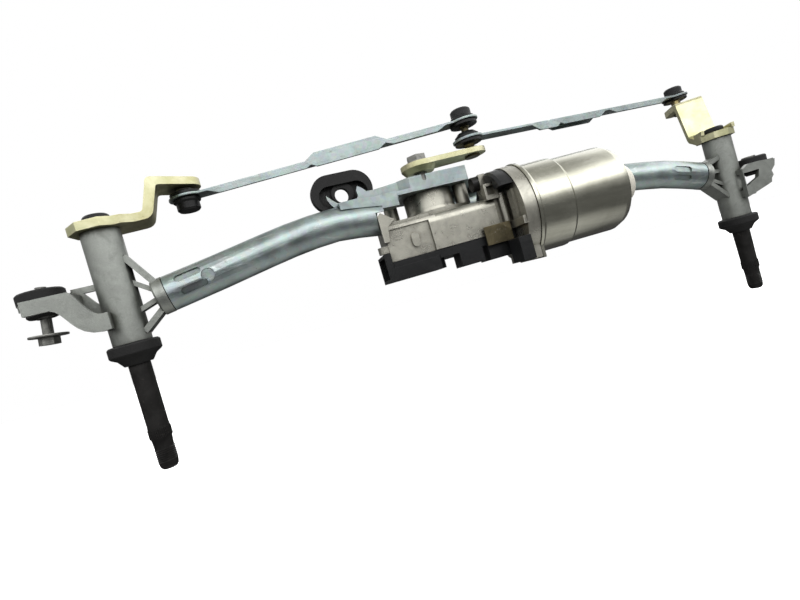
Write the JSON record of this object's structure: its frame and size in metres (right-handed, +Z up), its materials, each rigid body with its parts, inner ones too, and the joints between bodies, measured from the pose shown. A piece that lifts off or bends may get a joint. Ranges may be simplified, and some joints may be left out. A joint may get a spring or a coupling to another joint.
{
  "type": "windshield wiper linkage",
  "caption": "Wiper drive of a car: a geared motor turns a crank whose rods swing levers on spindles held by a tubular frame with rubber mounts.",
  "frame": {"origin": "middle of the left spindle's flat end face", "axes": "+X from the left spindle to the right spindle, +Y to the rear where the rods and levers lie, +Z up along the spindles away from their outer ends"},
  "size_m": [0.5939, 0.126, 0.2102],
  "materials": {
    "pivot_casting": "raw pressure-cast aluminium, dull grey, slightly grainy",
    "gear_casting": "raw cast aluminium with machined flange face",
    "zinc_steel": "pale bluish zinc plating over pressed and drawn steel",
    "yellow_zinc": "pale olive-cream passivated zinc over thick pressed steel",
    "can_steel": "smooth drawn steel, silvery with an olive cast",
    "plain_steel": "dark grey plated steel",
    "black_steel": "black phosphated steel, satin",
    "bronzed_steel": "dark olive-brown passivated steel",
    "brass": "satin brass",
    "copper": "copper segments",
    "laminated": "stacked steel sheets",
    "rubber": "matt black moulded rubber",
    "black_plastic": "matt black moulded plastic",
    "cream_plastic": "cream moulded plastic",
    "white_nylon": "off-white moulded nylon",
    "magnet": "grey sintered ferrite"
  },
  "bodies": {
    "frame": {"left_pivot_housing": "pivot_casting", "right_pivot_housing": "pivot_casting", "left_spindle_seal": "rubber", "right_spindle_seal": "rubber", "main_tube": "zinc_steel", "right_tube": "zinc_steel", "motor_bracket": "zinc_steel", "bracket_screw_1": "plain_steel", "bracket_screw_2": "plain_steel", "bracket_screw_3": "plain_steel", "left_grommet": "rubber", "left_grommet_sleeve": "plain_steel", "left_mount_bolt": "plain_steel", "left_mount_washer": "plain_steel", "right_grommet": "rubber", "right_grommet_sleeve": "plain_steel", "centre_grommet": "rubber", "gear_housing": "gear_casting", "gear_cover": "black_plastic", "terminal_strip": "brass", "magnet_front": "magnet", "magnet_back": "magnet", "motor_can": "can_steel", "motor_end_boss": "cream_plastic", "brush_hood": "black_plastic", "motor_screw": "black_steel", "brush_holder": "black_plastic", "ground_clip": "bronzed_steel"},
    "crank": {"output_shaft": "plain_steel", "worm_wheel": "white_nylon", "crank_arm": "yellow_zinc", "crank_nut": "plain_steel", "crank_double_ball_stud": "bronzed_steel"},
    "left_link": {"left_rod": "zinc_steel", "left_rod_lever_socket": "black_plastic", "left_rod_crank_socket": "black_plastic", "left_ball_stud": "plain_steel"},
    "right_link": {"right_rod": "zinc_steel", "right_rod_crank_socket": "black_plastic", "right_rod_lever_socket": "black_plastic", "right_ball_stud": "brass"},
    "left_output": {"left_spindle": "black_steel", "left_spindle_cap": "black_plastic", "left_lever": "yellow_zinc", "left_stud_rivet": "plain_steel"},
    "right_output": {"right_spindle": "black_steel", "right_spindle_cap": "black_plastic", "right_lever": "yellow_zinc", "right_stud_rivet": "plain_steel"},
    "armature": {"armature_shaft": "plain_steel", "armature_core": "laminated", "commutator": "copper"}
  },
  "joints": [
    {"name": "crank_turn", "type": "hinge", "parent": "frame", "child": "crank", "pos_m": [0.2233, 0.0199, 0.15], "axis": [0, 0, 1], "range_deg": [0, 180]},
    {"name": "left_link_turn", "type": "hinge", "parent": "crank", "child": "left_link", "pos_m": [0.26739, 0.01386, 0.1794], "axis": [0, 0, 1], "range_deg": [-181.2, 0]},
    {"name": "right_link_turn", "type": "hinge", "parent": "crank", "child": "right_link", "pos_m": [0.26739, 0.01386, 0.1651], "axis": [0, 0, 1], "range_deg": [-186.7, 0]},
    {"name": "left_spindle_turn", "type": "hinge", "parent": "frame", "child": "left_output", "pos_m": [0, 0, 0.1], "axis": [0, 0, 1], "range_deg": [0, 87.2]},
    {"name": "right_spindle_turn", "type": "hinge", "parent": "frame", "child": "right_output", "pos_m": [0.496, 0, 0.08], "axis": [0, 0, 1], "range_deg": [0, 82]},
    {"name": "armature_spin", "type": "hinge", "parent": "frame", "child": "armature", "pos_m": [0.21958, -0.00836, 0.097], "axis": [0.9914, -0.1305, 0], "range_deg": [-8281, 0]}
  ],
  "couplings": [
    {"joint": "left_link_turn", "follows": "crank_turn", "ratio": -1.0063},
    {"joint": "right_link_turn", "follows": "crank_turn", "ratio": -1.037},
    {"joint": "left_spindle_turn", "follows": "crank_turn", "ratio": 0.48396},
    {"joint": "right_spindle_turn", "follows": "crank_turn", "ratio": 0.45506},
    {"joint": "armature_spin", "follows": "crank_turn", "ratio": -46}
  ]
}
